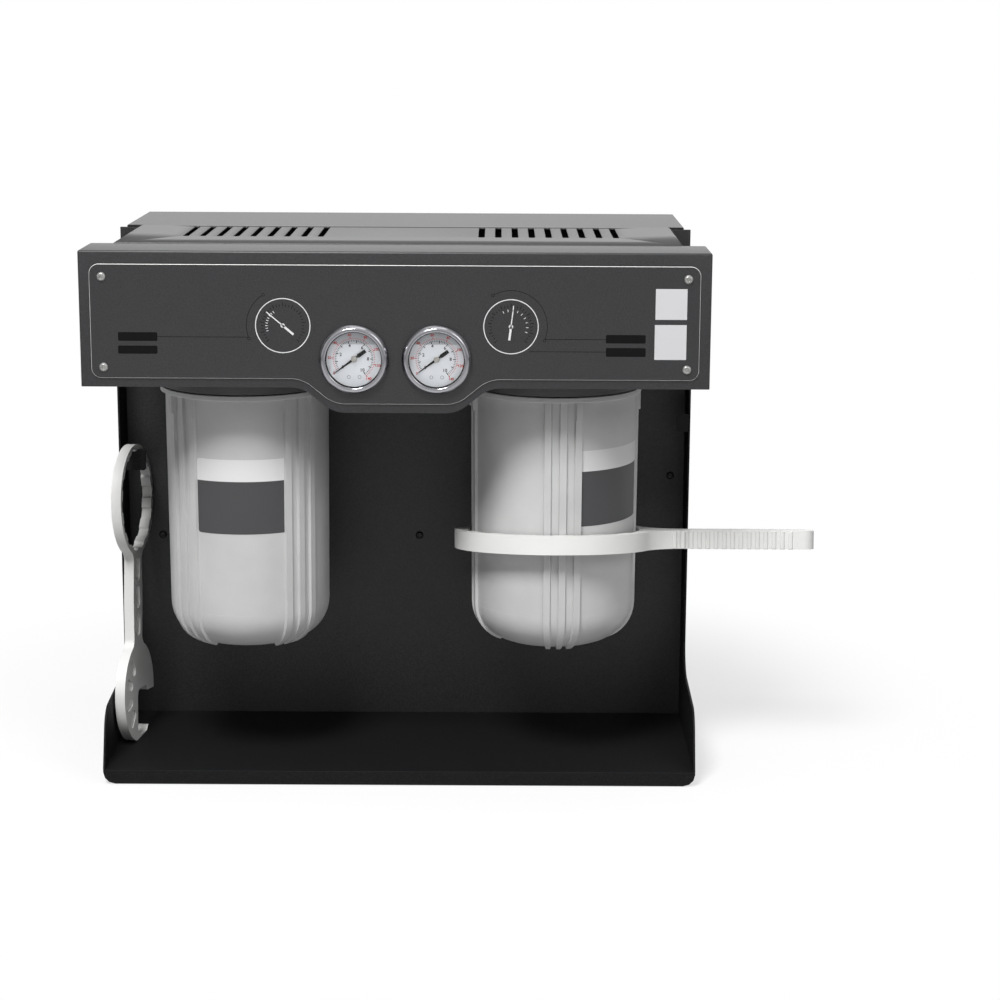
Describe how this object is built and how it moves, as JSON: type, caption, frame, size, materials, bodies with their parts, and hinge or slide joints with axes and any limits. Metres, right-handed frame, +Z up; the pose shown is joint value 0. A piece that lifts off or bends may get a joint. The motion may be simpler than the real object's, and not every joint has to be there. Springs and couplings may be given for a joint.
{
  "type": "reverse osmosis system",
  "caption": "Reverse osmosis water unit: open-fronted sheet-steel cabinet with screw-off prefilter sumps under a gauge hood, sump wrenches, and pump and membranes in a rear casing.",
  "frame": {"origin": "on the floor, under the middle of the rear casing, half way across the cabinet", "axes": "+Z up; the hood, gauges and open service bay face -Y; +X is to the right as the front is seen, and the ring wrench handle points along it"},
  "size_m": [0.77, 0.4797, 0.5823],
  "materials": {
    "hood_paint": "fine-textured graphite grey powder coat",
    "fascia_film": "satin dark grey printed panel",
    "body_paint": "fine-textured black powder coat",
    "chrome": "polished",
    "zinc_steel": "zinc plated",
    "black_steel": "black oxide",
    "stainless": "satin stainless",
    "brass": "machined",
    "dial_white": "white printed dial",
    "needle_black": "matte black",
    "lens": "clear",
    "sump_grey": "moulded grey polypropylene",
    "black_plastic": "moulded black plastic",
    "seal_rubber": "black rubber",
    "filter_felt": "pleated white media",
    "button_red": "moulded red",
    "pipe_white": "moulded white",
    "wrench_nylon": "moulded white nylon",
    "vessel_white": "wound white pressure tube",
    "motor_paint": "grey enamel",
    "box_grey": "moulded light grey"
  },
  "bodies": {
    "root": {"back_panel": "body_paint", "base_tray": "body_paint", "cable_gland": "black_plastic", "control_box": "box_grey", "cross_pipe": "pipe_white", "drain_port": "brass", "fan_cover": "black_plastic", "fascia_plate": "fascia_film", "fascia_screw_1": "zinc_steel", "fascia_screw_2": "zinc_steel", "fascia_screw_3": "zinc_steel", "fascia_screw_4": "zinc_steel", "feed_manifold": "pipe_white", "head_bracket": "body_paint", "hood_cover": "hood_paint", "hood_front_box": "hood_paint", "inlet_pipe": "pipe_white", "inlet_port": "brass", "left_cheek": "body_paint", "left_filter_head": "black_plastic", "left_gauge_bezel": "chrome", "left_gauge_case": "stainless", "left_gauge_dial": "dial_white", "left_gauge_lens": "lens", "membrane_1": "filter_felt", "membrane_2": "filter_felt", "membrane_vessel_1": "vessel_white", "membrane_vessel_2": "vessel_white", "motor_body": "motor_paint", "panel_screw_1": "black_steel", "panel_screw_2": "black_steel", "panel_screw_3": "black_steel", "permeate_port": "brass", "pump_head": "brass", "rear_casing": "hood_paint", "rear_door": "body_paint", "right_cheek": "body_paint", "right_filter_head": "black_plastic", "right_gauge_bezel": "chrome", "right_gauge_case": "stainless", "right_gauge_dial": "dial_white", "right_gauge_lens": "lens", "solenoid_valve": "black_plastic", "transfer_pipe": "pipe_white", "vessel_bracket": "zinc_steel", "vessel_cap_1": "black_plastic", "vessel_cap_2": "black_plastic"},
    "left_needle": {"left_gauge_needle": "needle_black"},
    "right_needle": {"right_gauge_needle": "needle_black"},
    "left_cartridge": {"left_cartridge": "filter_felt"},
    "left_sump": {"left_sump": "sump_grey", "left_o_ring": "seal_rubber"},
    "right_cartridge": {"right_cartridge": "filter_felt"},
    "right_sump": {"right_sump": "sump_grey", "right_o_ring": "seal_rubber"},
    "left_relief_button": {"left_relief_button": "button_red"},
    "right_relief_button": {"right_relief_button": "button_red"},
    "motor_rotor": {"motor_rotor": "zinc_steel"},
    "ring_wrench": {"ring_wrench": "wrench_nylon"},
    "hanging_wrench": {"hanging_wrench": "wrench_nylon"}
  },
  "joints": [
    {"name": "left_needle_turn", "type": "hinge", "parent": "root", "child": "left_needle", "pos_m": [-0.042, -0.36045, 0.4725], "axis": [0, 1, 0], "range_deg": [0, 270], "stiffness_Nm_per_rad": 0.004},
    {"name": "right_needle_turn", "type": "hinge", "parent": "root", "child": "right_needle", "pos_m": [0.042, -0.36045, 0.4725], "axis": [0, 1, 0], "range_deg": [0, 270], "stiffness_Nm_per_rad": 0.004},
    {"name": "left_sump_drop", "type": "slide", "parent": "root", "child": "left_cartridge", "axis": [0, 0, -1], "range_m": [0, 0.024]},
    {"name": "left_sump_turn", "type": "hinge", "parent": "left_cartridge", "child": "left_sump", "pos_m": [-0.166, -0.21995, 0.3], "axis": [0, 0, -1], "range_deg": [0, 1080]},
    {"name": "right_sump_drop", "type": "slide", "parent": "root", "child": "right_cartridge", "axis": [0, 0, -1], "range_m": [0, 0.024]},
    {"name": "right_sump_turn", "type": "hinge", "parent": "right_cartridge", "child": "right_sump", "pos_m": [0.166, -0.21995, 0.3], "axis": [0, 0, -1], "range_deg": [0, 1080]},
    {"name": "left_relief_press", "type": "slide", "parent": "root", "child": "left_relief_button", "axis": [0, 0, -1], "range_m": [0, 0.004], "stiffness_N_per_m": 600},
    {"name": "right_relief_press", "type": "slide", "parent": "root", "child": "right_relief_button", "axis": [0, 0, -1], "range_m": [0, 0.004], "stiffness_N_per_m": 600},
    {"name": "motor_spin", "type": "hinge", "parent": "root", "child": "motor_rotor", "pos_m": [0.1475, 0, 0.092], "axis": [1, 0, 0], "continuous": true},
    {"name": "ring_wrench_swing", "type": "hinge", "parent": "root", "child": "ring_wrench", "pos_m": [0.166, -0.21995, 0.254], "axis": [0, 0, -1], "range_deg": [-20, 150]},
    {"name": "hanging_wrench_unhook", "type": "slide", "parent": "root", "child": "hanging_wrench", "axis": [1, 0, 0], "range_m": [0, 0.03]}
  ],
  "couplings": [
    {"joint": "left_sump_turn", "follows": "left_sump_drop", "rad_per_m": 785.4},
    {"joint": "right_sump_turn", "follows": "right_sump_drop", "rad_per_m": 785.4}
  ]
}
